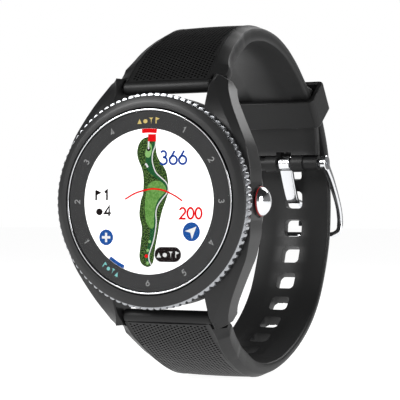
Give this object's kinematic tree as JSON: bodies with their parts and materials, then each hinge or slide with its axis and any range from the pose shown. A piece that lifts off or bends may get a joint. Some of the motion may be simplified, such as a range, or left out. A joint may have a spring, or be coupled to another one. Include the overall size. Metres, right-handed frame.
{
  "type": "golf watch",
  "caption": "Round golf watch with a lit dial, push button, faceted lugs and a perforated strap closed by a pin buckle and keeper.",
  "frame": {"origin": "centre of the flat case back, where the watch rests on the wrist", "axes": "+Y out of the case back into the wrist loop, +Z towards 12 o'clock, +X towards the button at 3 o'clock"},
  "size_m": [0.0486, 0.0894, 0.0824],
  "materials": {
    "case_plastic": "fine satin moulding, dark grey",
    "polished_metal": "bright polished",
    "glass": "clear, flat",
    "dial": "matt print, dark grey",
    "display": "colour display, lit",
    "black_plastic": "matt",
    "board": "green solder mask",
    "ribbon": "amber film",
    "battery_foil": "satin foil pouch",
    "ceramic": "matt ceramic",
    "back_plate": "smooth satin, dark grey",
    "gold": "gold plated",
    "seal": "matt",
    "accent": "dark red",
    "strap": "matt, outer face dimpled",
    "steel": "satin"
  },
  "bodies": {
    "case": {"mid_case": "case_plastic", "bezel": "case_plastic", "coin_edge_ring": "polished_metal", "trim_ring": "polished_metal", "cover_glass": "glass", "dial_ring": "dial", "display_panel": "display", "display_holder": "black_plastic", "circuit_board": "board", "chassis": "black_plastic", "battery": "battery_foil", "processor_shield": "steel", "satellite_antenna": "ceramic", "vibration_motor": "steel", "tactile_switch": "black_plastic", "display_ribbon": "ribbon", "case_back": "back_plate", "back_screw_1": "steel", "back_screw_2": "steel", "back_screw_3": "steel", "back_screw_4": "steel", "charge_contact_1": "gold", "charge_contact_2": "gold", "charge_contact_3": "gold", "charge_contact_4": "gold", "back_seal": "seal", "button_spring": "steel", "strap_short": "strap", "strap_long": "strap", "lug_bar_top_tube": "steel", "lug_bar_bottom_tube": "steel", "buckle_bar_tube": "steel"},
    "button": {"button_cap": "polished_metal", "button_accent_ring": "accent", "button_stem": "steel", "button_seal": "seal", "button_clip": "steel"},
    "keeper": {"keeper": "strap"},
    "buckle_frame": {"buckle_frame": "polished_metal"},
    "buckle_tang": {"buckle_tang": "polished_metal"},
    "lug_bar_top_tip_right": {"lug_bar_top_tip_right": "steel"},
    "lug_bar_top_tip_left": {"lug_bar_top_tip_left": "steel"},
    "lug_bar_bottom_tip_right": {"lug_bar_bottom_tip_right": "steel"},
    "lug_bar_bottom_tip_left": {"lug_bar_bottom_tip_left": "steel"},
    "buckle_bar_tip_right": {"buckle_bar_tip_right": "steel"},
    "buckle_bar_tip_left": {"buckle_bar_tip_left": "steel"}
  },
  "joints": [
    {"name": "button_press", "type": "slide", "parent": "case", "child": "button", "axis": [-1, 0, 0], "range_m": [0, 0.0006], "stiffness_N_per_m": 1500, "springref_m": -0.0006, "deforming": ["button_spring"]},
    {"name": "keeper_slide", "type": "hinge", "parent": "case", "child": "keeper", "pos_m": [0, 0.0403, 0.0096], "axis": [1, 0, 0], "range_deg": [-6, 6]},
    {"name": "buckle_frame_swing", "type": "hinge", "parent": "case", "child": "buckle_frame", "pos_m": [0, 0.0643, 0.0105], "axis": [1, 0, 0], "range_deg": [0, 4]},
    {"name": "buckle_tang_swing", "type": "hinge", "parent": "case", "child": "buckle_tang", "pos_m": [0, 0.0643, 0.0105], "axis": [1, 0, 0], "range_deg": [0, 4]},
    {"name": "lug_bar_top_tip_right_press", "type": "slide", "parent": "case", "child": "lug_bar_top_tip_right", "axis": [-1, 0, 0], "range_m": [0, 0.0012], "stiffness_N_per_m": 400, "springref_m": -0.001},
    {"name": "lug_bar_top_tip_left_press", "type": "slide", "parent": "case", "child": "lug_bar_top_tip_left", "axis": [1, 0, 0], "range_m": [0, 0.0012], "stiffness_N_per_m": 400, "springref_m": -0.001},
    {"name": "lug_bar_bottom_tip_right_press", "type": "slide", "parent": "case", "child": "lug_bar_bottom_tip_right", "axis": [-1, 0, 0], "range_m": [0, 0.0012], "stiffness_N_per_m": 400, "springref_m": -0.001},
    {"name": "lug_bar_bottom_tip_left_press", "type": "slide", "parent": "case", "child": "lug_bar_bottom_tip_left", "axis": [1, 0, 0], "range_m": [0, 0.0012], "stiffness_N_per_m": 400, "springref_m": -0.001},
    {"name": "buckle_bar_tip_right_press", "type": "slide", "parent": "case", "child": "buckle_bar_tip_right", "axis": [-1, 0, 0], "range_m": [0, 0.0012], "stiffness_N_per_m": 400, "springref_m": -0.001},
    {"name": "buckle_bar_tip_left_press", "type": "slide", "parent": "case", "child": "buckle_bar_tip_left", "axis": [1, 0, 0], "range_m": [0, 0.0012], "stiffness_N_per_m": 400, "springref_m": -0.001}
  ],
  "couplings": [
    {"joint": "buckle_tang_swing", "follows": "buckle_frame_swing", "ratio": 1}
  ]
}
